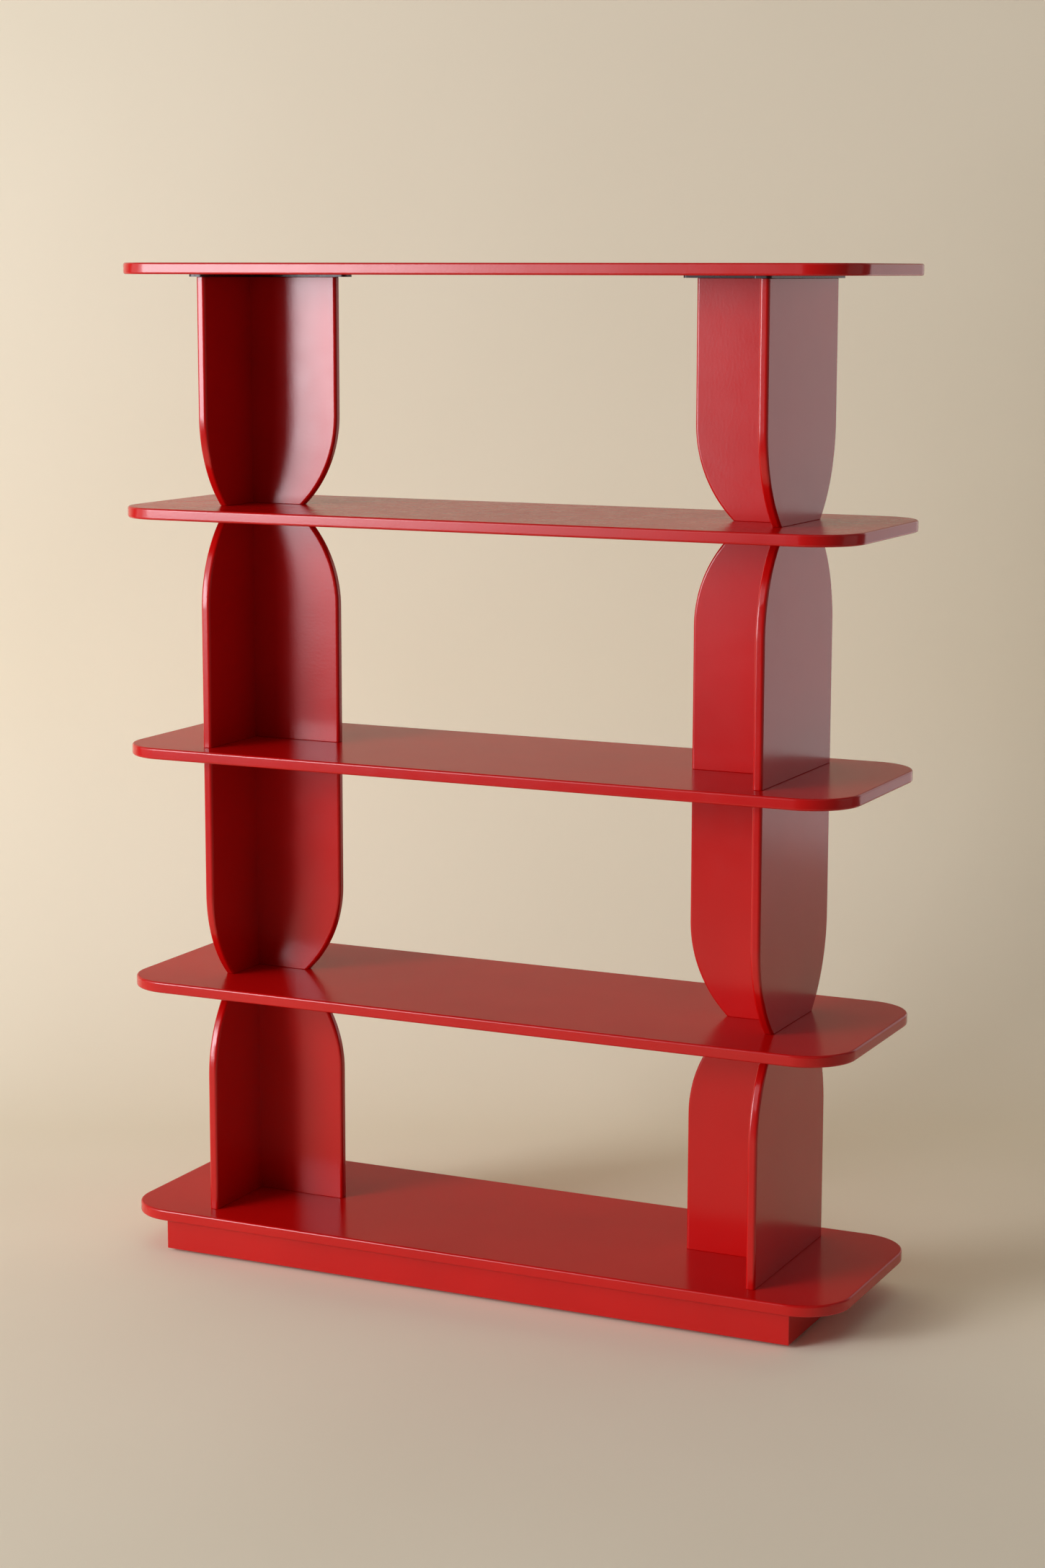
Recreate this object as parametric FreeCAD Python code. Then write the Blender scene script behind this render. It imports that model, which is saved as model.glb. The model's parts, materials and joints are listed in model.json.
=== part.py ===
import FreeCAD, Part
import math
import os

# Lacquered shelf unit: five identical shelves carried by four levels of T-shaped uprights on a low plinth.
# Millimetres. Origin on the floor under the middle of the unit, +Z up, +X along the shelves, front at -Y.

# Shelves
SHELF_LENGTH = 1320.0
SHELF_DEPTH = 408.0
SHELF_THICKNESS = 19.2
SHELF_CORNER_RADIUS = 83.0
SHELF_EDGE_RADIUS = 3.5
SHELF_PITCH = 408.0
SHELF_COUNT = 5

# Uprights: a side panel across the depth and a web panel that meets the middle of its inner face
PANEL_THICKNESS = 16.2
PANEL_EDGE_RADIUS = 5.0
PANEL_END_ARRIS = 0.8
SIDE_OUTER_X = 509.0
SIDE_WIDTH = 320.0
WEB_END_X = 328.0
ARC_RADIUS = 211.0
ARC_RISE = 154.0

# Black steel plate between the top shelf and the uprights below it
PLATE_THICKNESS = 4.0
PLATE_SIDE_MARGIN = 7.0
PLATE_FLANGE_MARGIN = 14.0
PLATE_WEB_MARGIN = 22.0
PLATE_OUTER_RADIUS = 7.0
PLATE_INNER_RADIUS = 5.0

# Plinth and glides
PLINTH_LENGTH = 1159.0
PLINTH_DEPTH = 376.0
PLINTH_HEIGHT = 54.0
PLINTH_EDGE_RADIUS = 1.2
RAIL_THICKNESS = 19.2
BLOCK_LEG = 70.0
BLOCK_SCREW_INSET = 25.0
BRACE_THICKNESS = 19.2
GLIDE_HEIGHT = 5.0
GLIDE_RADIUS = 10.0
GLIDE_EDGE = 1.0
GLIDE_INSET = 30.0
NAIL_RADIUS = 1.25
NAIL_LENGTH = 14.0

# Hidden joint hardware
STUD_RADIUS = 3.0
STUD_HOLE_RADIUS = 3.25
STUD_ENGAGEMENT = 18.0
STUD_Y = 65.0
STUD_WEB_X = 440.0
INSERT_RADIUS = 4.5
INSERT_LENGTH = 20.0
BOLT_HEAD_RADIUS = 6.0
BOLT_HEAD_HEIGHT = 3.6
SOCKET_RADIUS = 2.0
SOCKET_DEPTH = 2.2
DOWEL_RADIUS = 4.0
DOWEL_IN_SIDE = 10.0
DOWEL_IN_WEB = 25.0
DOWEL_HEIGHTS = (70.0, 192.0, 314.0)

# Wood screws
SCREW_RADIUS = 2.0
SCREW_HEAD_RADIUS = 3.8
SCREW_HEAD_HEIGHT = 2.2
SCREW_TIP = 4.0
SCREW_TIP_RADIUS = 0.5
DRIVE_RADIUS = 1.5
DRIVE_DEPTH = 1.4
PLATE_SCREW_LENGTH = 32.0
SHELF_SCREW_LENGTH = 16.0
BLOCK_SCREW_LENGTH = 64.0
PLATE_SCREW_Y = (45.0, 130.0)
PLATE_SCREW_WEB_X = (350.0, 440.0)

# Two lengths closer than this are the same when edges are picked out
TOLERANCE = 0.01

# Derived heights and places
PLINTH_TOP = GLIDE_HEIGHT + PLINTH_HEIGHT
BAY_HEIGHT = SHELF_PITCH - SHELF_THICKNESS
SIDE_INNER_X = SIDE_OUTER_X - PANEL_THICKNESS
SIDE_MID_X = SIDE_OUTER_X - PANEL_THICKNESS / 2
TOP_LEVEL = SHELF_COUNT - 1
ARC_INSET = ARC_RADIUS - math.sqrt(ARC_RADIUS ** 2 - ARC_RISE ** 2)

CENTRE = FreeCAD.Vector(0, 0, 0)
UP = FreeCAD.Vector(0, 0, 1)
DOWN = FreeCAD.Vector(0, 0, -1)
X_AXIS = FreeCAD.Vector(1, 0, 0)
Y_AXIS = FreeCAD.Vector(0, 1, 0)


def vec(x, y, z):
    return FreeCAD.Vector(x, y, z)


def export(name, shape):
    """Write one node as its own STEP file."""
    shape.exportStep(os.path.join("parts", name + ".step"))


def group(solids):
    """Several separate solids that share one node."""
    return Part.makeCompound(solids)


def cylinder(radius, length, base, direction=UP):
    return Part.makeCylinder(radius, length, base, direction)


def mirrored(shape):
    """The same shape on the left half of the unit."""
    return shape.mirror(CENTRE, X_AXIS)


def both_sides(solids):
    return solids + [mirrored(solid) for solid in solids]


def near(a, b):
    return abs(a - b) < TOLERANCE


def is_level(edge):
    return edge.BoundBox.ZLength < TOLERANCE


def is_upright(edge):
    return edge.BoundBox.XLength < TOLERANCE and edge.BoundBox.YLength < TOLERANCE


def shelf_bottom(index):
    """Height of the underside of shelf 1 (lowest) to shelf 5 (top)."""
    return PLINTH_TOP + (index - 1) * SHELF_PITCH


def level_bottom(level):
    return shelf_bottom(level) + SHELF_THICKNESS


def level_height(level):
    """Height of the uprights on a level; the top level also makes room for the steel plate."""
    if level == TOP_LEVEL:
        return BAY_HEIGHT - PLATE_THICKNESS
    return BAY_HEIGHT


def rounded_at_top(level):
    """The rounded ends alternate: levels 1 and 3 narrow upwards, levels 2 and 4 downwards."""
    return level % 2 == 1


def side_stud_points():
    return [(SIDE_MID_X, -STUD_Y), (SIDE_MID_X, STUD_Y)]


def web_stud_points():
    return [(STUD_WEB_X, 0.0)]


def stud_points():
    """Plan positions of the three joint fasteners of the right-hand upright."""
    return side_stud_points() + web_stud_points()


# ---------------------------------------------------------------- shelves

def rounded_board():
    """Shelf board with rounded corners and a small roundover on every edge, its underside at zero."""
    corner = vec(-SHELF_LENGTH / 2, -SHELF_DEPTH / 2, 0)
    board = Part.makeBox(SHELF_LENGTH, SHELF_DEPTH, SHELF_THICKNESS, corner)
    board = board.makeFillet(SHELF_CORNER_RADIUS, [e for e in board.Edges if is_upright(e)])
    return board.makeFillet(SHELF_EDGE_RADIUS, [e for e in board.Edges if is_level(e)])


def stud_clearance_holes(bottom):
    holes = [cylinder(STUD_HOLE_RADIUS, SHELF_THICKNESS, vec(x, y, bottom)) for x, y in stud_points()]
    return both_sides(holes)


def pilot_holes(points, depth, bottom):
    return [cylinder(SCREW_RADIUS, depth, vec(x, y, bottom)) for x, y in points]


def shelf(index):
    bottom = shelf_bottom(index)
    board = rounded_board()
    board.translate(vec(0, 0, bottom))
    if index == SHELF_COUNT:
        holes = both_sides(pilot_holes(shelf_screw_points(), SHELF_SCREW_LENGTH - PLATE_THICKNESS, bottom))
    else:
        holes = stud_clearance_holes(bottom)
    if index == 1:
        holes += pilot_holes(block_screw_points(), BLOCK_SCREW_LENGTH - PLINTH_HEIGHT, bottom)
    return board.cut(group(holes))


# ---------------------------------------------------------------- uprights

def curved_edge(point_at, height):
    """One edge of an upright: straight from its wide end, then an arc to its narrow end.

    point_at gives the point at an inset and a height, so both kinds of panel share the curve.
    """
    arc_start = height - ARC_RISE
    half_angle = math.asin(ARC_RISE / ARC_RADIUS) / 2
    middle_inset = ARC_RADIUS * (1 - math.cos(half_angle))
    middle_height = arc_start + ARC_RADIUS * math.sin(half_angle)
    line = Part.makeLine(point_at(0, 0), point_at(0, arc_start))
    arc = Part.Arc(point_at(0, arc_start), point_at(middle_inset, middle_height), point_at(ARC_INSET, height))
    return [line, arc.toShape()]


def slab(edges, thickness):
    """Panel blank: the outline made by the edges, thickened."""
    return Part.Face(Part.Wire(Part.sortEdges(edges)[0])).extrude(thickness)


def side_blank(height):
    half = SIDE_WIDTH / 2
    narrow = half - ARC_INSET
    edges = curved_edge(lambda inset, z: vec(SIDE_INNER_X, inset - half, z), height)
    edges += curved_edge(lambda inset, z: vec(SIDE_INNER_X, half - inset, z), height)
    edges.append(Part.makeLine(vec(SIDE_INNER_X, -narrow, height), vec(SIDE_INNER_X, narrow, height)))
    edges.append(Part.makeLine(vec(SIDE_INNER_X, -half, 0), vec(SIDE_INNER_X, half, 0)))
    return slab(edges, vec(PANEL_THICKNESS, 0, 0))


def web_blank(height):
    y = -PANEL_THICKNESS / 2
    edges = curved_edge(lambda inset, z: vec(WEB_END_X + inset, y, z), height)
    edges.append(Part.makeLine(vec(WEB_END_X + ARC_INSET, y, height), vec(SIDE_INNER_X, y, height)))
    edges.append(Part.makeLine(vec(SIDE_INNER_X, y, 0), vec(SIDE_INNER_X, y, height)))
    edges.append(Part.makeLine(vec(WEB_END_X, y, 0), vec(SIDE_INNER_X, y, 0)))
    return slab(edges, vec(0, PANEL_THICKNESS, 0))


def is_side_long_edge(edge):
    """The front and back edges of a side panel, straight and curved."""
    return edge.BoundBox.XLength < TOLERANCE and not is_level(edge)


def touches_side_panel(edge):
    return near(edge.BoundBox.XMax, SIDE_INNER_X)


def is_web_long_edge(edge):
    """The free edge of a web panel, straight and curved."""
    return edge.BoundBox.YLength < TOLERANCE and not is_level(edge) and not touches_side_panel(edge)


def soften(panel, long_edges):
    """Round over the long edges that the hand meets."""
    return panel.makeFillet(PANEL_EDGE_RADIUS, long_edges)


def is_end_edge(edge, height):
    return is_level(edge) and (near(edge.BoundBox.ZMin, 0) or near(edge.BoundBox.ZMin, height))


def ease_ends(panel, height, stays_square):
    """Take the arris off both ends, so that a fine groove shows where the panel meets a shelf."""
    ends = [e for e in panel.Edges if is_end_edge(e, height) and not stays_square(e)]
    return panel.makeChamfer(PANEL_END_ARRIS, ends)


def place_upright(panel, level):
    """Turn a panel made with its narrow end up to suit its level, and lift it into place."""
    if not rounded_at_top(level):
        panel.rotate(vec(0, 0, level_height(level) / 2), X_AXIS, 180)
    panel.translate(vec(0, 0, level_bottom(level)))
    return panel


def dowel_cylinders(level, x, length):
    """The dowels of one upright, or the holes for them, along X from x."""
    return [cylinder(DOWEL_RADIUS, length, vec(x, 0, level_bottom(level) + z), X_AXIS) for z in DOWEL_HEIGHTS]


def side_panel(level):
    height = level_height(level)
    panel = side_blank(height)
    panel = soften(panel, [e for e in panel.Edges if is_side_long_edge(e)])
    panel = ease_ends(panel, height, lambda edge: False)
    panel = place_upright(panel, level)
    holes = dowel_cylinders(level, SIDE_INNER_X, DOWEL_IN_SIDE)
    holes += end_holes(level, side_stud_points())
    if level == TOP_LEVEL:
        holes += plate_screw_holes(side_screw_points())
    return panel.cut(group(holes))


def web_panel(level):
    height = level_height(level)
    panel = web_blank(height)
    panel = soften(panel, [e for e in panel.Edges if is_web_long_edge(e)])
    panel = ease_ends(panel, height, lambda edge: near(edge.BoundBox.XMin, SIDE_INNER_X))
    panel = place_upright(panel, level)
    holes = dowel_cylinders(level, SIDE_INNER_X - DOWEL_IN_WEB, DOWEL_IN_WEB)
    holes += end_holes(level, web_stud_points())
    if level == TOP_LEVEL:
        holes += plate_screw_holes(web_screw_points())
    return panel.cut(group(holes))


def end_holes(level, points):
    """Blind holes for the threaded inserts in a panel's two ends."""
    holes = []
    for x, y in points:
        holes.append(cylinder(INSERT_RADIUS, INSERT_LENGTH, vec(x, y, level_bottom(level))))
        if level != TOP_LEVEL:
            holes.append(cylinder(INSERT_RADIUS, INSERT_LENGTH, vec(x, y, shelf_bottom(level + 1)), DOWN))
    return holes


# ---------------------------------------------------------------- top plates

def plate_bottom():
    return shelf_bottom(SHELF_COUNT) - PLATE_THICKNESS


def side_screw_points():
    return [(SIDE_MID_X, sign * y) for y in PLATE_SCREW_Y for sign in (-1, 1)]


def web_screw_points():
    return [(x, 0.0) for x in PLATE_SCREW_WEB_X]


def plate_screw_points():
    """Screws that hold the plate down on the upright."""
    return side_screw_points() + web_screw_points()


def shelf_screw_points():
    """Screws up into the top shelf, in the three tongues that stand clear of the upright."""
    y = SIDE_WIDTH / 2 + PLATE_FLANGE_MARGIN / 2
    return [(SIDE_MID_X, -y), (SIDE_MID_X, y), (WEB_END_X - PLATE_WEB_MARGIN / 2, 0.0)]


def screw(x, y, z, direction, length):
    """Countersunk wood screw: the head's flat face is at the point, the shank runs along direction."""
    top = vec(x, y, z)
    under_head = top + direction * SCREW_HEAD_HEIGHT
    tip_start = top + direction * (length - SCREW_TIP)
    head = Part.makeCone(SCREW_HEAD_RADIUS, SCREW_RADIUS, SCREW_HEAD_HEIGHT, top, direction)
    shank = cylinder(SCREW_RADIUS, length - SCREW_TIP - SCREW_HEAD_HEIGHT, under_head, direction)
    tip = Part.makeCone(SCREW_RADIUS, SCREW_TIP_RADIUS, SCREW_TIP, tip_start, direction)
    drive = cylinder(DRIVE_RADIUS, DRIVE_DEPTH, top, direction)
    return head.fuse([shank, tip]).removeSplitter().cut(drive)


def screw_hole(x, y, z, direction, length):
    """Countersunk hole that a screw's head fits."""
    top = vec(x, y, z)
    sink = Part.makeCone(SCREW_HEAD_RADIUS, SCREW_RADIUS, SCREW_HEAD_HEIGHT, top, direction)
    return sink.fuse(cylinder(SCREW_RADIUS, length, top, direction))


def plate_screw_holes(points):
    """Pilot holes in the top edge of an upright."""
    depth = PLATE_SCREW_LENGTH - PLATE_THICKNESS
    return [cylinder(SCREW_RADIUS, depth, vec(x, y, plate_bottom()), DOWN) for x, y in points]


def flat_bar(x_low, x_high, half_width, is_rounded):
    """Bar of plate with the chosen corners rounded."""
    corner = vec(x_low, -half_width, plate_bottom())
    bar = Part.makeBox(x_high - x_low, 2 * half_width, PLATE_THICKNESS, corner)
    return bar.makeFillet(PLATE_OUTER_RADIUS, [e for e in bar.Edges if is_upright(e) and is_rounded(e)])


def plate_blank():
    """T-shaped plate that stands out a little all round the upright below it."""
    inner_x = SIDE_INNER_X - PLATE_SIDE_MARGIN
    web_half = PANEL_THICKNESS / 2 + PLATE_SIDE_MARGIN
    flange_half = SIDE_WIDTH / 2 + PLATE_FLANGE_MARGIN
    flange = flat_bar(inner_x, SIDE_OUTER_X + PLATE_SIDE_MARGIN, flange_half, lambda edge: True)
    web = flat_bar(WEB_END_X - PLATE_WEB_MARGIN, SIDE_MID_X, web_half,
                   lambda edge: edge.BoundBox.XMin < WEB_END_X)
    plate = flange.fuse(web).removeSplitter()
    inner = [e for e in plate.Edges
             if is_upright(e) and near(e.BoundBox.XMin, inner_x) and near(abs(e.BoundBox.YMin), web_half)]
    return plate.makeFillet(PLATE_INNER_RADIUS, inner)


def top_plate():
    bottom = plate_bottom()
    top = bottom + PLATE_THICKNESS
    holes = [screw_hole(x, y, top, DOWN, PLATE_THICKNESS) for x, y in plate_screw_points()]
    holes += [screw_hole(x, y, bottom, UP, PLATE_THICKNESS) for x, y in shelf_screw_points()]
    return plate_blank().cut(group(holes))


def plate_screws():
    top = plate_bottom() + PLATE_THICKNESS
    return group(both_sides([screw(x, y, top, DOWN, PLATE_SCREW_LENGTH) for x, y in plate_screw_points()]))


def top_shelf_screws():
    bottom = plate_bottom()
    return group(both_sides([screw(x, y, bottom, UP, SHELF_SCREW_LENGTH) for x, y in shelf_screw_points()]))


# ---------------------------------------------------------------- joint hardware

def tie_studs():
    """Threaded rods through shelves 2 to 4, from the upright below into the upright above."""
    studs = []
    length = SHELF_THICKNESS + 2 * STUD_ENGAGEMENT
    for index in range(2, SHELF_COUNT):
        for x, y in stud_points():
            studs.append(cylinder(STUD_RADIUS, length, vec(x, y, shelf_bottom(index) - STUD_ENGAGEMENT)))
    return group(both_sides(studs))


def threaded_insert(x, y, z, direction):
    """Sleeve that a stud or bolt screws into."""
    start = vec(x, y, z)
    sleeve = cylinder(INSERT_RADIUS, INSERT_LENGTH, start, direction)
    return sleeve.cut(cylinder(STUD_RADIUS, INSERT_LENGTH, start, direction))


def threaded_inserts():
    inserts = []
    for level in range(1, SHELF_COUNT):
        for x, y in stud_points():
            inserts.append(threaded_insert(x, y, level_bottom(level), UP))
            if level != TOP_LEVEL:
                inserts.append(threaded_insert(x, y, shelf_bottom(level + 1), DOWN))
    return group(both_sides(inserts))


def base_bolts():
    """Socket-head bolts up through the bottom shelf into the lowest uprights."""
    bolts = []
    for x, y in stud_points():
        under = vec(x, y, PLINTH_TOP)
        head = cylinder(BOLT_HEAD_RADIUS, BOLT_HEAD_HEIGHT, under, DOWN)
        shank = cylinder(STUD_RADIUS, SHELF_THICKNESS + STUD_ENGAGEMENT, under)
        socket = cylinder(SOCKET_RADIUS, SOCKET_DEPTH, under + DOWN * BOLT_HEAD_HEIGHT)
        bolts.append(head.fuse(shank).removeSplitter().cut(socket))
    return group(both_sides(bolts))


def web_dowels():
    """Glued wooden dowels that join each web panel to its side panel."""
    dowels = []
    for level in range(1, SHELF_COUNT):
        dowels += dowel_cylinders(level, SIDE_INNER_X - DOWEL_IN_WEB, DOWEL_IN_WEB + DOWEL_IN_SIDE)
    return group(both_sides(dowels))


# ---------------------------------------------------------------- plinth

def prism(points, z_low, height):
    outline = [vec(x, y, z_low) for x, y in points]
    return Part.Face(Part.makePolygon(outline + outline[:1])).extrude(vec(0, 0, height))


def plinth_envelope():
    """Outside of the plinth, with its upright corners and its lower rim eased."""
    box = Part.makeBox(PLINTH_LENGTH, PLINTH_DEPTH, PLINTH_HEIGHT,
                       vec(-PLINTH_LENGTH / 2, -PLINTH_DEPTH / 2, GLIDE_HEIGHT))
    edges = [e for e in box.Edges if not near(e.BoundBox.ZMin, PLINTH_TOP)]
    return box.makeFillet(PLINTH_EDGE_RADIUS, edges)


def front_rail():
    """Front rail, mitred at both ends."""
    x, y, t = PLINTH_LENGTH / 2, PLINTH_DEPTH / 2, RAIL_THICKNESS
    rail = prism([(-x, -y), (x, -y), (x - t, -y + t), (-x + t, -y + t)], GLIDE_HEIGHT, PLINTH_HEIGHT)
    return rail.common(plinth_envelope())


def right_rail():
    """End rail, mitred at both ends."""
    x, y, t = PLINTH_LENGTH / 2, PLINTH_DEPTH / 2, RAIL_THICKNESS
    rail = prism([(x, -y), (x, y), (x - t, y - t), (x - t, -y + t)], GLIDE_HEIGHT, PLINTH_HEIGHT)
    return rail.common(plinth_envelope())


def centre_brace():
    """Board between the front and back rails, in the middle."""
    depth = PLINTH_DEPTH - 2 * RAIL_THICKNESS
    brace = Part.makeBox(BRACE_THICKNESS, depth, PLINTH_HEIGHT,
                         vec(-BRACE_THICKNESS / 2, -depth / 2, GLIDE_HEIGHT))
    holes = [screw_hole(x, y, GLIDE_HEIGHT, UP, PLINTH_HEIGHT) for x, y in brace_screw_points()]
    return brace.cut(group(holes))


def block_corner():
    """Inner corner of the rails at the right-hand back."""
    return PLINTH_LENGTH / 2 - RAIL_THICKNESS, PLINTH_DEPTH / 2 - RAIL_THICKNESS


def brace_screw_points():
    y = PLINTH_DEPTH / 4
    return [(0.0, -y), (0.0, y)]


def corner_screw_points():
    x, y = block_corner()
    inset = BLOCK_SCREW_INSET
    return [(sx * (x - inset), sy * (y - inset)) for sx in (-1, 1) for sy in (-1, 1)]


def block_screw_points():
    return corner_screw_points() + brace_screw_points()


def glide_points():
    x = PLINTH_LENGTH / 2 - GLIDE_INSET
    y = PLINTH_DEPTH / 2 - GLIDE_INSET
    return [(sx * x, sy * y) for sx in (-1, 1) for sy in (-1, 1)]


def corner_block(x_sign, y_sign):
    x, y = block_corner()
    corner = [(x, y), (x - BLOCK_LEG, y), (x, y - BLOCK_LEG)]
    return prism([(x_sign * px, y_sign * py) for px, py in corner], GLIDE_HEIGHT, PLINTH_HEIGHT)


def corner_blocks():
    """Triangular glue blocks inside the four corners of the plinth."""
    holes = [screw_hole(x, y, GLIDE_HEIGHT, UP, PLINTH_HEIGHT) for x, y in corner_screw_points()]
    holes += [cylinder(NAIL_RADIUS, NAIL_LENGTH, vec(x, y, GLIDE_HEIGHT)) for x, y in glide_points()]
    cutter = group(holes)
    return group([corner_block(x_sign, y_sign).cut(cutter) for x_sign in (-1, 1) for y_sign in (-1, 1)])


def plinth_screws():
    return group([screw(x, y, GLIDE_HEIGHT, UP, BLOCK_SCREW_LENGTH) for x, y in block_screw_points()])


def glides():
    """Nail-on plastic glides under the corner blocks."""
    pads = []
    for x, y in glide_points():
        pad = cylinder(GLIDE_RADIUS, GLIDE_HEIGHT, vec(x, y, 0))
        pad = pad.makeFillet(GLIDE_EDGE, [e for e in pad.Edges if is_level(e) and near(e.BoundBox.ZMin, 0)])
        nail = cylinder(NAIL_RADIUS, NAIL_LENGTH, vec(x, y, GLIDE_HEIGHT))
        pads.append(pad.fuse(nail).removeSplitter())
    return group(pads)


def main():
    os.makedirs("parts", exist_ok=True)
    for index in range(1, SHELF_COUNT + 1):
        export("shelf_%d" % index, shelf(index))
    for level in range(1, SHELF_COUNT):
        side = side_panel(level)
        web = web_panel(level)
        export("side_panel_%d_right" % level, side)
        export("side_panel_%d_left" % level, mirrored(side))
        export("web_panel_%d_right" % level, web)
        export("web_panel_%d_left" % level, mirrored(web))
    plate = top_plate()
    export("top_plate_right", plate)
    export("top_plate_left", mirrored(plate))
    export("plate_screws", plate_screws())
    export("top_shelf_screws", top_shelf_screws())
    export("tie_studs", tie_studs())
    export("threaded_inserts", threaded_inserts())
    export("base_bolts", base_bolts())
    export("web_dowels", web_dowels())
    front = front_rail()
    right = right_rail()
    export("plinth_front_rail", front)
    export("plinth_back_rail", front.mirror(CENTRE, Y_AXIS))
    export("plinth_right_rail", right)
    export("plinth_left_rail", mirrored(right))
    export("plinth_centre_brace", centre_brace())
    export("plinth_corner_blocks", corner_blocks())
    export("plinth_screws", plinth_screws())
    export("glides", glides())


main()
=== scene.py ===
import json
import math

import bmesh
import bpy
from mathutils import Matrix, Vector


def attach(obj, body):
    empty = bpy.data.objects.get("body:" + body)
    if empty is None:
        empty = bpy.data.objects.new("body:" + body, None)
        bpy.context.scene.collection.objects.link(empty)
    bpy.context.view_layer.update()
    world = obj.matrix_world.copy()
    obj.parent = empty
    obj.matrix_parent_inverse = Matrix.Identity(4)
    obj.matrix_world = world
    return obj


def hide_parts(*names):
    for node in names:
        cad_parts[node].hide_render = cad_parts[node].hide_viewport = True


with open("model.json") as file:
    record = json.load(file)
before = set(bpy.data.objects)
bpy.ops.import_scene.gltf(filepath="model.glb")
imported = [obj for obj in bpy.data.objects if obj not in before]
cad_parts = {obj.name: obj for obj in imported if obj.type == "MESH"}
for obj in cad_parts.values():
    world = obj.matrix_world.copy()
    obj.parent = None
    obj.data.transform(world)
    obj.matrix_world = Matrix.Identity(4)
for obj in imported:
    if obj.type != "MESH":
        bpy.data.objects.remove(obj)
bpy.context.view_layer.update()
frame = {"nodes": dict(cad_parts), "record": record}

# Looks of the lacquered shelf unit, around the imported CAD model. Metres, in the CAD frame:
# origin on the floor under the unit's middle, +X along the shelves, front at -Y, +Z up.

MM = 0.001
MICRON = 0.000001

# ---------------------------------------------------------------- camera

CAMERA_PLACE = Vector((2.197, -4.617, 1.697))
CAMERA_YAW = math.radians(25.256)
CAMERA_PITCH = math.radians(-9.467)
CAMERA_ROLL = math.radians(0.105)
CAMERA_LENS = 70.6
CAMERA_SENSOR = 36.0


def make_camera():
    data = bpy.data.cameras.new("camera")
    data.lens = CAMERA_LENS
    data.sensor_width = CAMERA_SENSOR
    camera = bpy.data.objects.new("camera", data)
    turn = Matrix.Rotation(CAMERA_YAW, 4, "Z") @ Matrix.Rotation(math.pi / 2 + CAMERA_PITCH, 4, "X")
    camera.matrix_world = Matrix.Translation(CAMERA_PLACE) @ turn @ Matrix.Rotation(CAMERA_ROLL, 4, "Z")
    bpy.context.scene.collection.objects.link(camera)
    bpy.context.scene.camera = camera


# ---------------------------------------------------------------- shader helpers

# Socket numbers of a Mix node's two colours and its colour result, which share their names with others.
MIX_COLORS = (6, 7)
MIX_RESULT = 2
IOR = 1.5
# Most of a noise texture's values lie between these.
NOISE_LOW = 0.3
NOISE_HIGH = 0.7


class Look:
    """A Principled material whose textures follow the object's own metres."""

    def __init__(self, name, roughness, metallic=0.0):
        self.material = bpy.data.materials.new(name)
        self.material.use_nodes = True
        self.tree = self.material.node_tree
        self.shader = self.tree.nodes["Principled BSDF"]
        self.shader.inputs["Roughness"].default_value = roughness
        self.shader.inputs["Metallic"].default_value = metallic
        self.shader.inputs["IOR"].default_value = IOR
        self.place = self.add("ShaderNodeTexCoord").outputs["Object"]

    def add(self, kind, **settings):
        node = self.tree.nodes.new(kind)
        for key, value in settings.items():
            setattr(node, key, value)
        return node

    def link(self, source, target):
        self.tree.links.new(source, target)

    def stretched(self, scale):
        """The object's coordinates, scaled differently along each axis."""
        mapping = self.add("ShaderNodeMapping")
        mapping.inputs["Scale"].default_value = scale
        self.link(self.place, mapping.inputs["Vector"])
        return mapping.outputs["Vector"]

    def noise(self, per_metre, detail=2.0, place=None, distortion=0.0):
        node = self.add("ShaderNodeTexNoise")
        node.inputs["Scale"].default_value = per_metre
        node.inputs["Detail"].default_value = detail
        node.inputs["Distortion"].default_value = distortion
        self.link(place or self.place, node.inputs["Vector"])
        return node.outputs["Fac"]

    def remap(self, value, low, high, from_low=NOISE_LOW, from_high=NOISE_HIGH):
        """A value moved to run from low to high. Without a range of its own it counts as noise."""
        node = self.add("ShaderNodeMapRange")
        node.inputs["From Min"].default_value = from_low
        node.inputs["From Max"].default_value = from_high
        node.inputs["To Min"].default_value = low
        node.inputs["To Max"].default_value = high
        self.link(value, node.inputs["Value"])
        return node.outputs["Result"]

    def blend(self, value, first, second):
        """A colour between two: each is a tuple or another node's output."""
        node = self.add("ShaderNodeMix", data_type="RGBA")
        self.link(value, node.inputs["Factor"])
        for number, color in zip(MIX_COLORS, (first, second)):
            socket = node.inputs[number]
            if isinstance(color, tuple):
                socket.default_value = (*color, 1.0)
            else:
                self.link(color, socket)
        return node.outputs[MIX_RESULT]

    def color(self, output):
        self.link(output, self.shader.inputs["Base Color"])

    def mottled(self, per_metre, first, second):
        """A base colour that drifts between two."""
        drift = self.remap(self.noise(per_metre), 0.0, 1.0)
        self.color(self.blend(drift, first, second))

    def roughness(self, output):
        self.link(output, self.shader.inputs["Roughness"])

    def bump(self, height, depth, below=None):
        """Relief of the given depth, on top of another bump if one is given."""
        node = self.add("ShaderNodeBump")
        node.inputs["Distance"].default_value = depth
        self.link(height, node.inputs["Height"])
        if below:
            self.link(below, node.inputs["Normal"])
        self.link(node.outputs["Normal"], self.shader.inputs["Normal"])
        return node.outputs["Normal"]


# ---------------------------------------------------------------- materials

LACQUER_RED = (0.57, 0.0040, 0.0034)
LACQUER_DEEP = (0.52, 0.0032, 0.0028)
SPECK_RED = (0.30, 0.0020, 0.0020)
LACQUER_ROUGHNESS = (0.185, 0.215)
NIBS_PER_METRE = 16.0
NIB_CORE = 0.006
NIB_RIM = 0.012
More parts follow.
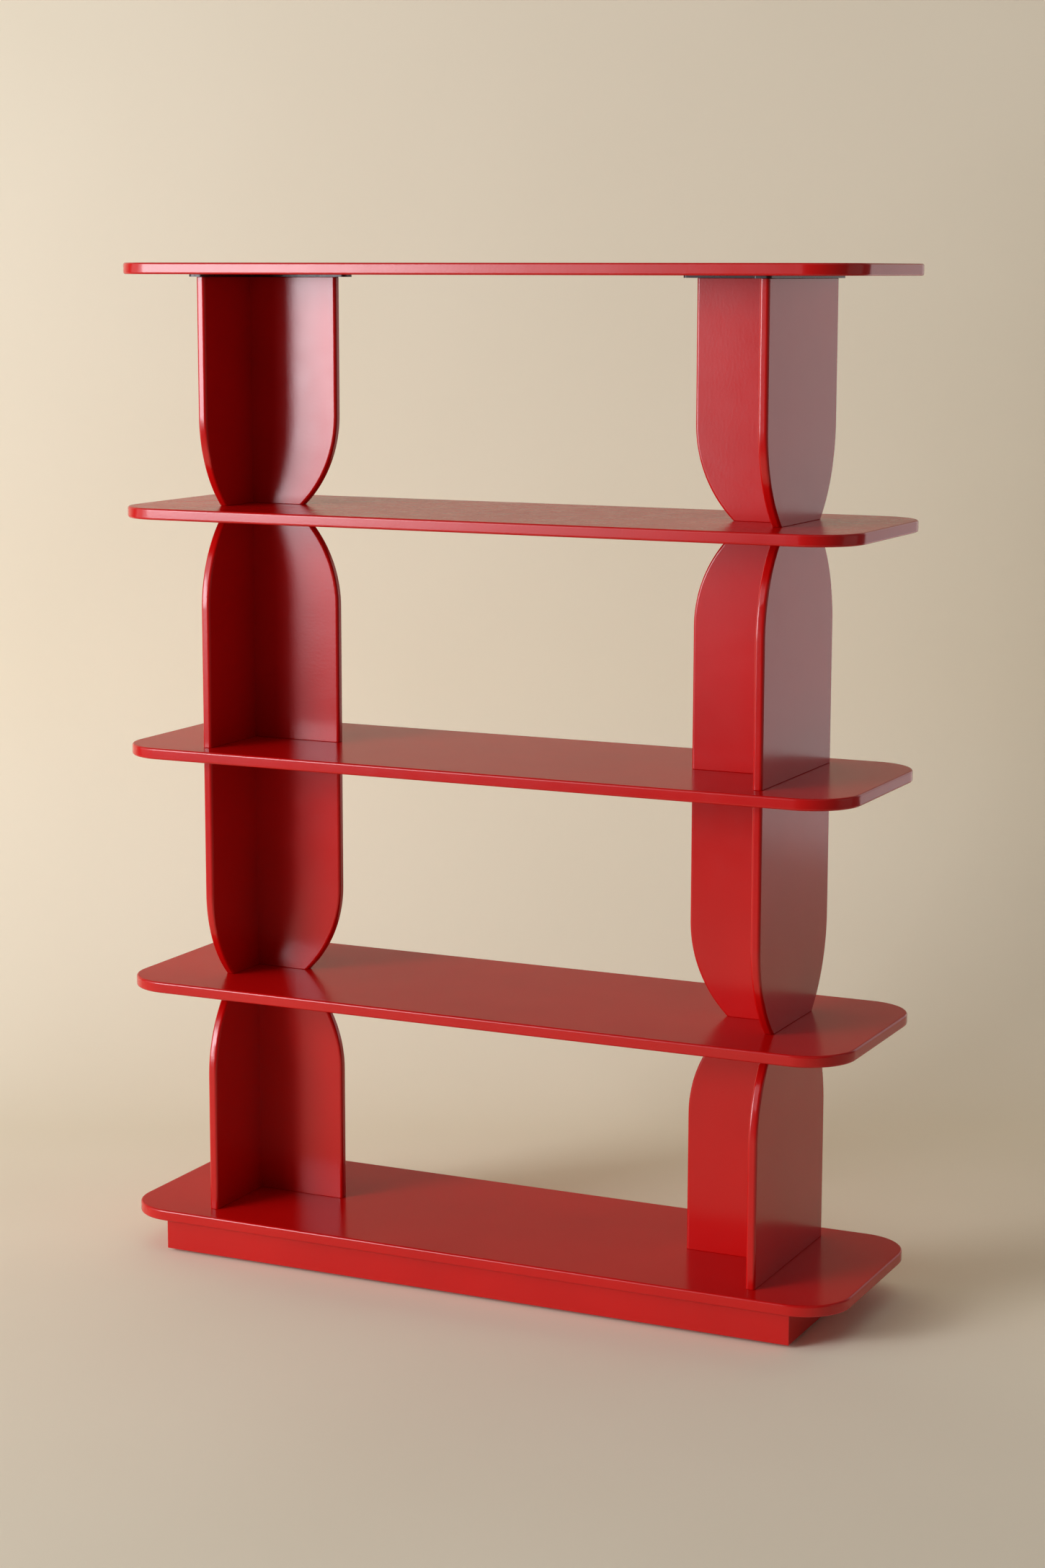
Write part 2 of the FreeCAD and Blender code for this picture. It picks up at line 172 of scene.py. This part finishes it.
# Specular level of upright and of level faces, and the upward part of the normal where each is reached.
UPRIGHT_SPECULAR = 0.5
LEVEL_SPECULAR = 0.035
UPRIGHT_NORMAL = 0.5
LEVEL_NORMAL = 0.97


def lacquer():
    """Sprayed satin-gloss lacquer: slight drift in tone and gloss, faint orange peel, a few dust nibs.
    Level faces have little surface glare, as under a polarising filter."""
    look = Look("lacquer", 0.2)
    tone = look.blend(look.remap(look.noise(5.0), 0.0, 1.0), LACQUER_DEEP, LACQUER_RED)
    cells = look.add("ShaderNodeTexVoronoi")
    cells.inputs["Scale"].default_value = NIBS_PER_METRE
    look.link(look.place, cells.inputs["Vector"])
    nib = look.remap(cells.outputs["Distance"], 1.0, 0.0, NIB_CORE, NIB_RIM)
    look.color(look.blend(nib, tone, SPECK_RED))
    look.roughness(look.remap(look.noise(28.0), *LACQUER_ROUGHNESS))
    normal = look.add("ShaderNodeSeparateXYZ")
    look.link(look.add("ShaderNodeNewGeometry").outputs["Normal"], normal.inputs[0])
    level = look.add("ShaderNodeMath", operation="ABSOLUTE")
    look.link(normal.outputs["Z"], level.inputs[0])
    glare = look.remap(level.outputs[0], UPRIGHT_SPECULAR, LEVEL_SPECULAR, UPRIGHT_NORMAL, LEVEL_NORMAL)
    look.link(glare, look.shader.inputs["Specular IOR Level"])
    long_wave = look.bump(look.noise(14.0, detail=0.0), 100 * MICRON)
    peel = look.bump(look.noise(230.0, detail=1.0), 60 * MICRON, long_wave)
    look.bump(nib, 100 * MICRON, peel)
    return look.material


def powder_coat():
    """Fine-textured black powder coat."""
    look = Look("powder_coat", 0.3)
    look.mottled(20.0, (0.010, 0.010, 0.011), (0.016, 0.015, 0.015))
    look.roughness(look.remap(look.noise(300.0), 0.25, 0.36))
    look.bump(look.noise(1400.0, detail=3.0), 30 * MICRON)
    return look.material


def black_oxide():
    """Blackened steel of the small screws."""
    look = Look("black_oxide", 0.38, metallic=0.8)
    look.mottled(160.0, (0.020, 0.019, 0.018), (0.045, 0.042, 0.040))
    look.roughness(look.remap(look.noise(500.0), 0.30, 0.46))
    look.bump(look.noise(1600.0), 20 * MICRON)
    return look.material


def zinc():
    """Bright zinc plating with a faint warm bloom."""
    look = Look("zinc", 0.33, metallic=1.0)
    look.mottled(90.0, (0.66, 0.67, 0.69), (0.74, 0.71, 0.63))
    look.roughness(look.remap(look.noise(420.0, detail=3.0), 0.26, 0.42))
    look.bump(look.noise(1500.0), 20 * MICRON)
    return look.material


def brass():
    """Turned brass: fine rings from the tool run round the axis, which is Z."""
    look = Look("brass", 0.28, metallic=1.0)
    look.mottled(120.0, (0.72, 0.53, 0.24), (0.83, 0.66, 0.34))
    look.roughness(look.remap(look.noise(300.0), 0.22, 0.36))
    rings = look.noise(1.0, place=look.stretched((20.0, 20.0, 4000.0)))
    look.bump(rings, 20 * MICRON)
    return look.material


PORE_SHADE = 0.55


def bare_wood(name, light, dark, grain):
    """Planed wood: long streaks, darker pores and a dry surface. The scale is small along the grain."""
    look = Look(name, 0.62)
    streaks = look.noise(1.0, detail=4.0, place=look.stretched(grain), distortion=0.6)
    tone = look.blend(look.remap(streaks, 0.0, 1.0), light, dark)
    fine = look.noise(7.0, place=look.stretched(grain))
    pores = look.remap(fine, 1.0, 0.0, 0.30, 0.40)
    look.color(look.blend(pores, tone, tuple(PORE_SHADE * part for part in dark)))
    look.roughness(look.remap(streaks, 0.55, 0.72))
    look.bump(fine, 120 * MICRON)
    return look.material


def glide_plastic():
    """Matt dark plastic with a moulded grain."""
    look = Look("glide_plastic", 0.5)
    look.mottled(60.0, (0.018, 0.017, 0.016), (0.030, 0.028, 0.026))
    look.roughness(look.remap(look.noise(240.0), 0.42, 0.60))
    look.bump(look.noise(900.0, detail=3.0), 50 * MICRON)
    return look.material


# ---------------------------------------------------------------- hardware

AROUND = 24
# A thread's rows in one turn, from root to crest, and how far past each end its surface runs.
ROWS_PER_TURN = 4
THREAD_PROFILE = (0.0, 0.15, 1.0, 0.85)
SPARE_TURNS = 2
STUD_PITCH = 1.0 * MM
STUD_THREAD_DEPTH = 0.6 * MM
SLEEVE_PITCH = 2.5 * MM
SLEEVE_THREAD_DEPTH = 0.7 * MM
SLEEVE_BORE_GAP = 0.05 * MM
SCREW_PITCH = 1.8 * MM
SCREW_THREAD_DEPTH = 0.7 * MM
SCREW_HEAD_HEIGHT = 2.2 * MM
SCREW_SHANK_RADIUS = 2.0 * MM
SCREW_TIP = 4.0 * MM
SCREW_TIP_RADIUS = 0.5 * MM
DRIVE_RADIUS = 1.5 * MM
DRIVE_DEPTH = 1.4 * MM
DRIVE_TAPER = 0.9
DRIVE_SIDES = 4
BOLT_HEAD_HEIGHT = 3.6 * MM
BOLT_SHANK_RADIUS = 3.0 * MM
SOCKET_RADIUS = 2.0 * MM
SOCKET_DEPTH = 2.2 * MM
SOCKET_SIDES = 6
SMALL_EDGE = 0.3 * MM
OVERLAP = 0.1 * MM
DOWEL_CHAMFER = 0.8 * MM
DOWEL_FLUTE = 0.25 * MM
MERGE = 1e-7
SHARP_ANGLE = math.radians(35)


def point(radius, index, along):
    angle = 2 * math.pi * index / AROUND
    return Vector((radius * math.cos(angle), radius * math.sin(angle), along))


def ring(along, radius):
    return [point(radius, index, along) for index in range(AROUND)]


def polygon_ring(along, radius, sides):
    """A ring that follows a regular polygon whose corners reach the radius."""
    points = []
    for index in range(AROUND):
        off = (2 * math.pi * index / AROUND) % (2 * math.pi / sides) - math.pi / sides
        points.append(point(radius * math.cos(math.pi / sides) / math.cos(off), index, along))
    return points


def fluted_ring(along, radius):
    return [point(radius - DOWEL_FLUTE * (index % 2), index, along) for index in range(AROUND)]


def skin(mesh, rows, shift=0):
    """Faces between rows of points, closed round each row. A shift joins each row's end to the
    start of the row that many further on, which makes a screw thread."""
    verts = [[mesh.verts.new(spot) for spot in row] for row in rows]
    for low in range(len(rows) - 1 - shift):
        for index in range(AROUND):
            following = (index + 1) % AROUND
            climb = shift if following == 0 else 0
            corners = (verts[low][index], verts[low + climb][following],
                       verts[low + climb + 1][following], verts[low + 1][index])
            mesh.faces.new(corners)


def thread_rows(start, end, pitch, crest, depth, limit, bore=0.0):
    """Rows of a threaded shank from start to end along Z. limit gives the largest radius at a
    height. Past each end the surface closes inwards to the bore or the axis."""
    rows = []
    turns = math.ceil((end - start) / pitch) + 2 * SPARE_TURNS
    for row in range(ROWS_PER_TURN * turns + 1):
        spots = []
        for index in range(AROUND):
            height = start + pitch * (row / ROWS_PER_TURN + index / AROUND - SPARE_TURNS)
            along = min(max(height, start), end)
            radius = crest - depth * (1 - THREAD_PROFILE[row % ROWS_PER_TURN])
            radius = min(radius, limit(along))
            beyond = abs(height - along) / (pitch / 2)
            radius = bore + (radius - bore) * max(0.0, 1.0 - beyond)
            spots.append(point(radius, index, along))
        rows.append(spots)
    return rows


def pattern(*skins):
    """One fastener about the Z axis, as plain points and faces, from (rows, shift) pairs."""
    mesh = bmesh.new()
    for rows, shift in skins:
        skin(mesh, rows, shift)
    bmesh.ops.remove_doubles(mesh, verts=mesh.verts, dist=MERGE)
    bmesh.ops.dissolve_degenerate(mesh, edges=mesh.edges, dist=MERGE)
    bmesh.ops.recalc_face_normals(mesh, faces=mesh.faces)
    mesh.verts.index_update()
    points = [vert.co.copy() for vert in mesh.verts]
    faces = [tuple(vert.index for vert in face.verts) for face in mesh.faces]
    mesh.free()
    return points, faces


def solids_of(node):
    """The lowest and highest corner of each separate solid in a CAD node."""
    mesh = bmesh.new()
    mesh.from_mesh(frame["nodes"][node].data)
    bmesh.ops.remove_doubles(mesh, verts=mesh.verts, dist=MERGE)
    seen = set()
    boxes = []
    for first in mesh.verts:
        if first in seen:
            continue
        seen.add(first)
        found = [first]
        for vert in found:
            for edge in vert.link_edges:
                other = edge.other_vert(vert)
                if other not in seen:
                    seen.add(other)
                    found.append(other)
        low = Vector([min(vert.co[axis] for vert in found) for axis in range(3)])
        high = Vector([max(vert.co[axis] for vert in found) for axis in range(3)])
        boxes.append((low, high))
    mesh.free()
    return boxes


def fasten(name, node, material, direction, make):
    """One piece that stands for a CAD node: a detailed fastener in the place of each of its solids.
    make(length, radius) gives the pattern, whose Z = 0 end lies at the solid's start."""
    axis = max(range(3), key=lambda number: abs(direction[number]))
    solids = solids_of(node)
    low, high = solids[0]
    length = high[axis] - low[axis]
    radius = (high[(axis + 1) % 3] - low[(axis + 1) % 3]) / 2
    points, faces = make(length, radius)
    turn = direction.to_track_quat("Z", "Y").to_matrix()
    all_points = []
    all_faces = []
    for low, high in solids:
        start = (low + high) / 2
        start[axis] = low[axis] if direction[axis] > 0 else high[axis]
        first = len(all_points)
        all_points += [start + turn @ spot for spot in points]
        all_faces += [tuple(first + number for number in face) for face in faces]
    mesh = bpy.data.meshes.new(name)
    mesh.from_pydata(all_points, [], all_faces)
    mesh.shade_smooth()
    mesh.set_sharp_from_angle(angle=SHARP_ANGLE)
    mesh.materials.append(material)
    piece = bpy.data.objects.new(name, mesh)
    bpy.context.scene.collection.objects.link(piece)
    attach(piece, "root")
    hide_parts(node)


def machine_thread(start, end, radius):
    """Metric thread with 45 degree lead-ins at its ends."""
    root = radius - STUD_THREAD_DEPTH

    def limit(along):
        return root + min(along - start, end - along)

    return thread_rows(start, end, STUD_PITCH, radius, STUD_THREAD_DEPTH, limit), ROWS_PER_TURN


def stud(length, radius):
    return pattern(machine_thread(0.0, length, radius))


def sleeve(length, radius):
    """Screw-in insert: coarse thread outside, plain bore inside."""
    bore = BOLT_SHANK_RADIUS + SLEEVE_BORE_GAP

    def limit(along):
        return radius - SLEEVE_THREAD_DEPTH + min(along, length - along)

    outside = thread_rows(0.0, length, SLEEVE_PITCH, radius, SLEEVE_THREAD_DEPTH, limit, bore)
    return pattern((outside, ROWS_PER_TURN), ([ring(0.0, bore), ring(length, bore)], 0))


def bolt(length, radius):
    """Socket-head bolt: hexagonal socket, softly edged head, metric thread."""
    head = [
        ring(SOCKET_DEPTH + SMALL_EDGE, 0.0),
        polygon_ring(SOCKET_DEPTH, SOCKET_RADIUS, SOCKET_SIDES),
        polygon_ring(SMALL_EDGE / 2, SOCKET_RADIUS, SOCKET_SIDES),
        ring(0.0, SOCKET_RADIUS + SMALL_EDGE),
        ring(0.0, radius - SMALL_EDGE),
        ring(SMALL_EDGE, radius),
        ring(BOLT_HEAD_HEIGHT - SMALL_EDGE / 2, radius),
        ring(BOLT_HEAD_HEIGHT, radius - SMALL_EDGE / 2),
        ring(BOLT_HEAD_HEIGHT, 0.0),
    ]
    return pattern((head, 0), machine_thread(BOLT_HEAD_HEIGHT - OVERLAP, length, BOLT_SHANK_RADIUS))


def wood_screw(length, radius):
    """Countersunk screw with a square recess, a coarse thread and a point."""
    head = [
        ring(DRIVE_DEPTH, 0.0),
        polygon_ring(DRIVE_DEPTH, DRIVE_RADIUS * DRIVE_TAPER, DRIVE_SIDES),
        polygon_ring(0.0, DRIVE_RADIUS, DRIVE_SIDES),
        ring(0.0, radius - SMALL_EDGE / 2),
        ring(SMALL_EDGE / 2, radius - SMALL_EDGE / 4),
        ring(SCREW_HEAD_HEIGHT, SCREW_SHANK_RADIUS),
        ring(SCREW_HEAD_HEIGHT, 0.0),
    ]

    def limit(along):
        part = min(1.0, (length - along) / SCREW_TIP)
        return SCREW_TIP_RADIUS + part * (SCREW_SHANK_RADIUS - SCREW_TIP_RADIUS)

    start = SCREW_HEAD_HEIGHT - OVERLAP
    shank = thread_rows(start, length, SCREW_PITCH, SCREW_SHANK_RADIUS, SCREW_THREAD_DEPTH, limit)
    return pattern((head, 0), (shank, ROWS_PER_TURN))


def dowel(length, radius):
    """Fluted dowel with chamfered ends."""
    end = radius - DOWEL_CHAMFER
    rows = [
        ring(0.0, 0.0),
        ring(0.0, end),
        fluted_ring(DOWEL_CHAMFER, radius),
        fluted_ring(length - DOWEL_CHAMFER, radius),
        ring(length, end),
        ring(length, 0.0),
    ]
    return pattern((rows, 0))


def make_hardware(looks):
    up = Vector((0, 0, 1))
    down = -up
    along_x = Vector((1, 0, 0))
    fasten("stud_threads", "tie_studs", looks["zinc_steel"], up, stud)
    fasten("insert_threads", "threaded_inserts", looks["insert_brass"], up, sleeve)
    fasten("bolt_details", "base_bolts", looks["zinc_steel"], up, bolt)
    fasten("block_screw_details", "plinth_screws", looks["zinc_steel"], up, wood_screw)
    fasten("plate_screw_details", "plate_screws", looks["black_screw"], down, wood_screw)
    fasten("shelf_screw_details", "top_shelf_screws", looks["black_screw"], up, wood_screw)
    fasten("dowel_flutes", "web_dowels", looks["beech"], along_x, dowel)


# ---------------------------------------------------------------- finish of the CAD nodes

PINE = ((0.62, 0.42, 0.22), (0.45, 0.26, 0.11))
BEECH = ((0.60, 0.43, 0.28), (0.47, 0.30, 0.17))
GRAIN_ALONG_X = (9.0, 160.0, 160.0)
GRAIN_ALONG_Y = (160.0, 9.0, 160.0)
# Seams closer than this are joined, and the largest face then sets the normal at a corner.
WELD_DISTANCE = 1e-6
LARGE_FACES_LEAD = 100


def make_looks():
    """Materials by the record's slot, with the two woods apart."""
    return {
        "red_lacquer": lacquer(),
        "black_steel": powder_coat(),
        "black_screw": black_oxide(),
        "zinc_steel": zinc(),
        "insert_brass": brass(),
        "bare_wood": bare_wood("pine", *PINE, GRAIN_ALONG_Y),
        "beech": bare_wood("beech", *BEECH, GRAIN_ALONG_X),
        "glide_plastic": glide_plastic(),
    }


def smooth_seams(body):
    """Shading that runs on evenly where a flat face meets a rounding. Real edges stay sharp."""
    body.modifiers.new("weld", "WELD").merge_threshold = WELD_DISTANCE
    split = body.modifiers.new("split", "EDGE_SPLIT")
    split.split_angle = SHARP_ANGLE
    split.use_edge_sharp = False
    weighted = body.modifiers.new("normals", "WEIGHTED_NORMAL")
    weighted.mode = "FACE_AREA"
    weighted.weight = LARGE_FACES_LEAD


def finish_nodes(looks):
    for part in frame["record"]["subparts"]:
        node = frame["nodes"][part["node"]]
        node.data.materials[0] = looks[part["material_slot"]]
        smooth_seams(node)


# ---------------------------------------------------------------- stage

PAPER = (0.96, 0.875, 0.68)
PAPER_SHADE = (0.93, 0.845, 0.65)
STAGE_HALF_WIDTH = 6.0
SWEEP_START = 0.85
SWEEP_RADIUS = 0.8
WALL_HEIGHT = 6.0
SWEEP_STEPS = 24
# The paper fades out between these distances from the unit's middle.
FADE_START = 2.3
FADE_END = 4.2
BACKDROP_GLOW = (0.62, 0.53, 0.40, 1)
WORLD_LIGHT = (0.10, 0.095, 0.09, 1)


def paper():
    """Matt paper that can't be seen from behind, and that fades out well away from the unit."""
    look = Look("paper", 0.9)
    look.mottled(1.3, PAPER_SHADE, PAPER)
    look.bump(look.noise(700.0, detail=3.0), 150 * MICRON)
    length = look.add("ShaderNodeVectorMath", operation="LENGTH")
    look.link(look.stretched((1.0, 1.0, 0.0)), length.inputs[0])
    far = look.remap(length.outputs["Value"], 0.0, 1.0, FADE_START, FADE_END)
    hidden = look.add("ShaderNodeMath", operation="MAXIMUM")
    look.link(far, hidden.inputs[0])
    look.link(look.add("ShaderNodeNewGeometry").outputs["Backfacing"], hidden.inputs[1])
    mix = look.add("ShaderNodeMixShader")
    look.link(hidden.outputs[0], mix.inputs[0])
    look.link(look.shader.outputs[0], mix.inputs[1])
    look.link(look.add("ShaderNodeBsdfTransparent").outputs[0], mix.inputs[2])
    look.link(mix.outputs[0], look.tree.nodes["Material Output"].inputs["Surface"])
    return look.material


def paper_sheet(name, profile, material):
    """A sheet that spans the stage's width along a side profile of (along, height) points."""
    verts = [(side * STAGE_HALF_WIDTH, along, height) for along, height in profile for side in (-1, 1)]
    faces = [(2 * i, 2 * i + 1, 2 * i + 3, 2 * i + 2) for i in range(len(profile) - 1)]
    mesh = bpy.data.meshes.new(name)
    mesh.from_pydata(verts, [], faces)
    mesh.shade_smooth()
    mesh.materials.append(material)
    sheet = bpy.data.objects.new(name, mesh)
    sheet.matrix_world = Matrix.Rotation(CAMERA_YAW, 4, "Z")
    bpy.context.scene.collection.objects.link(sheet)


def make_stage():
    """Floor that sweeps up into a backdrop, square to the camera's heading."""
    profile = [(-STAGE_HALF_WIDTH, 0.0), (SWEEP_START, 0.0)]
    for i in range(1, SWEEP_STEPS + 1):
        angle = math.pi / 2 * i / SWEEP_STEPS
        profile.append((SWEEP_START + SWEEP_RADIUS * math.sin(angle), SWEEP_RADIUS * (1 - math.cos(angle))))
    profile.append((SWEEP_START + SWEEP_RADIUS, WALL_HEIGHT))
    paper_sheet("sweep", profile, paper())


# ---------------------------------------------------------------- light

KEY_CENTRE = Vector((-0.15, -0.2, 0.0))
KEY_DISTANCE = 7.0
KEY_DROP = 0.25
UNIT_MIDDLE = (0, 0, 0.9)
COOL = (0.96, 0.96, 1.03)
NEUTRAL = (1.0, 0.99, 0.98)
WARM = (1.0, 0.92, 0.82)


def area_light(name, place, target, width, height, radiance, color):
    """A soft box of the given brightness, out of the camera's sight."""
    data = bpy.data.lights.new(name, "AREA")
    data.shape = "RECTANGLE"
    data.size = width
    data.size_y = height
    data.energy = math.pi * width * height * radiance
    data.color = color
    light = bpy.data.objects.new(name, data)
    light.location = place
    light.rotation_euler = (Vector(target) - Vector(place)).to_track_quat("-Z", "Y").to_euler()
    light.visible_camera = False
    bpy.context.scene.collection.objects.link(light)


def key_light(name, bearing, height, width, tall, radiance):
    """A box to the left of the front, at a bearing in degrees from -Y, turned a little down."""
    angle = math.radians(bearing)
    away = Vector((-math.sin(angle), -math.cos(angle), 0)) * KEY_DISTANCE
    place = KEY_CENTRE + away + Vector((0, 0, height))
    target = KEY_CENTRE + Vector((0, 0, height - KEY_DROP))
    area_light(name, place, target, width, tall, radiance, COOL)


def beside_wall(across, along, height):
    """A place given by its distances across and along the camera's heading."""
    return Matrix.Rotation(CAMERA_YAW, 3, "Z") @ Vector((across, along, height))


def make_lights():
    key_light("key_core", bearing=37, height=2.25, width=2.55, tall=2.9, radiance=12.4)
    key_light("key_halo", bearing=38, height=3.3, width=5.0, tall=6.4, radiance=2.15)
    area_light("left_fill", place=(-3.6, -1.6, 1.8), target=UNIT_MIDDLE,
               width=1.8, height=3.0, radiance=1.1, color=NEUTRAL)
    area_light("rear_panel", place=beside_wall(2.25, 1.5, 1.15), target=beside_wall(2.25, 0, 1.15),
               width=1.6, height=2.2, radiance=0.62, color=COOL)
    area_light("right_fill", place=(4.0, 0.5, 1.7), target=UNIT_MIDDLE,
               width=2.5, height=3.0, radiance=0.32, color=WARM)
    area_light("wall_wash", place=beside_wall(1.5, -0.2, 3.6), target=beside_wall(1.2, 1.65, 0.5),
               width=2.6, height=0.8, radiance=0.6, color=WARM)
    area_light("ceiling", place=(0.4, -1.4, 3.6), target=(0.4, -1.39, 0),
               width=4.0, height=2.4, radiance=0.3, color=NEUTRAL)


def make_world():
    """Dim light from the surroundings, with a brighter tone where the camera sees past the paper."""
    world = bpy.data.worlds.new("studio")
    world.use_nodes = True
    tree = world.node_tree
    background = tree.nodes["Background"]
    mix = tree.nodes.new("ShaderNodeMix")
    mix.data_type = "RGBA"
    for number, color in zip(MIX_COLORS, (WORLD_LIGHT, BACKDROP_GLOW)):
        mix.inputs[number].default_value = color
    path = tree.nodes.new("ShaderNodeLightPath")
    tree.links.new(path.outputs["Is Camera Ray"], mix.inputs["Factor"])
    tree.links.new(mix.outputs[MIX_RESULT], background.inputs["Color"])
    bpy.context.scene.world = world


make_camera()
make_stage()
make_lights()
make_world()
all_looks = make_looks()
finish_nodes(all_looks)
make_hardware(all_looks)
bpy.context.scene.view_settings.view_transform = "Standard"
